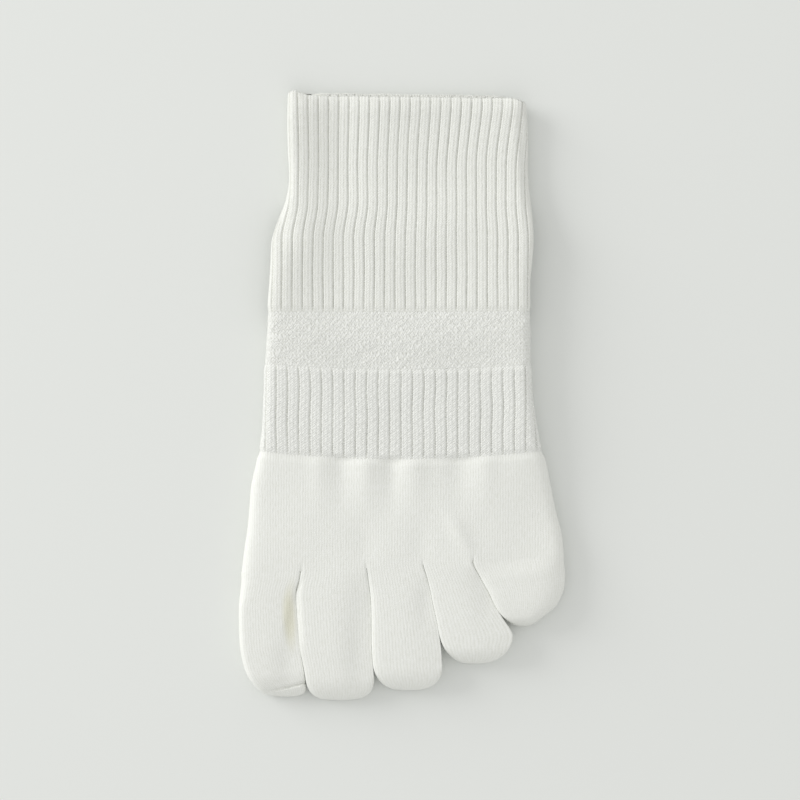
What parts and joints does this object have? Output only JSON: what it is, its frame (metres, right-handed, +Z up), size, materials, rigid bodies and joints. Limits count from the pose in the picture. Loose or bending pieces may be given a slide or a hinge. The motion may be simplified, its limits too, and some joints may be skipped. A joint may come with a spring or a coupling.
{
  "type": "toe sock",
  "caption": "White knitted toe sock for a left foot, laid flat with the instep up: ribbed leg, plain ankle band, ribbed arch band and a separate pocket for each toe.",
  "frame": {"origin": "middle of the footprint, on the surface that the sole lies on", "axes": "+Y from the toes towards the cuff, +X towards the little toe, +Z up through the instep"},
  "size_m": [0.1155, 0.2158, 0.0133],
  "materials": {
    "leg_rib": "matt rib knit",
    "ankle_heel": "matt pebbly knit",
    "arch_rib": "matt rib knit",
    "foot_body": "matt plain knit",
    "toe_big": "matt plain knit",
    "toe_second": "matt plain knit",
    "toe_third": "matt plain knit",
    "toe_fourth": "matt plain knit",
    "toe_little": "matt plain knit"
  },
  "bodies": {
    "root": {"leg_rib": "leg_rib", "ankle_heel": "ankle_heel", "arch_rib": "arch_rib", "foot_body": "foot_body", "toe_big": "toe_big", "toe_second": "toe_second", "toe_third": "toe_third", "toe_fourth": "toe_fourth", "toe_little": "toe_little"}
  },
  "joints": []
}
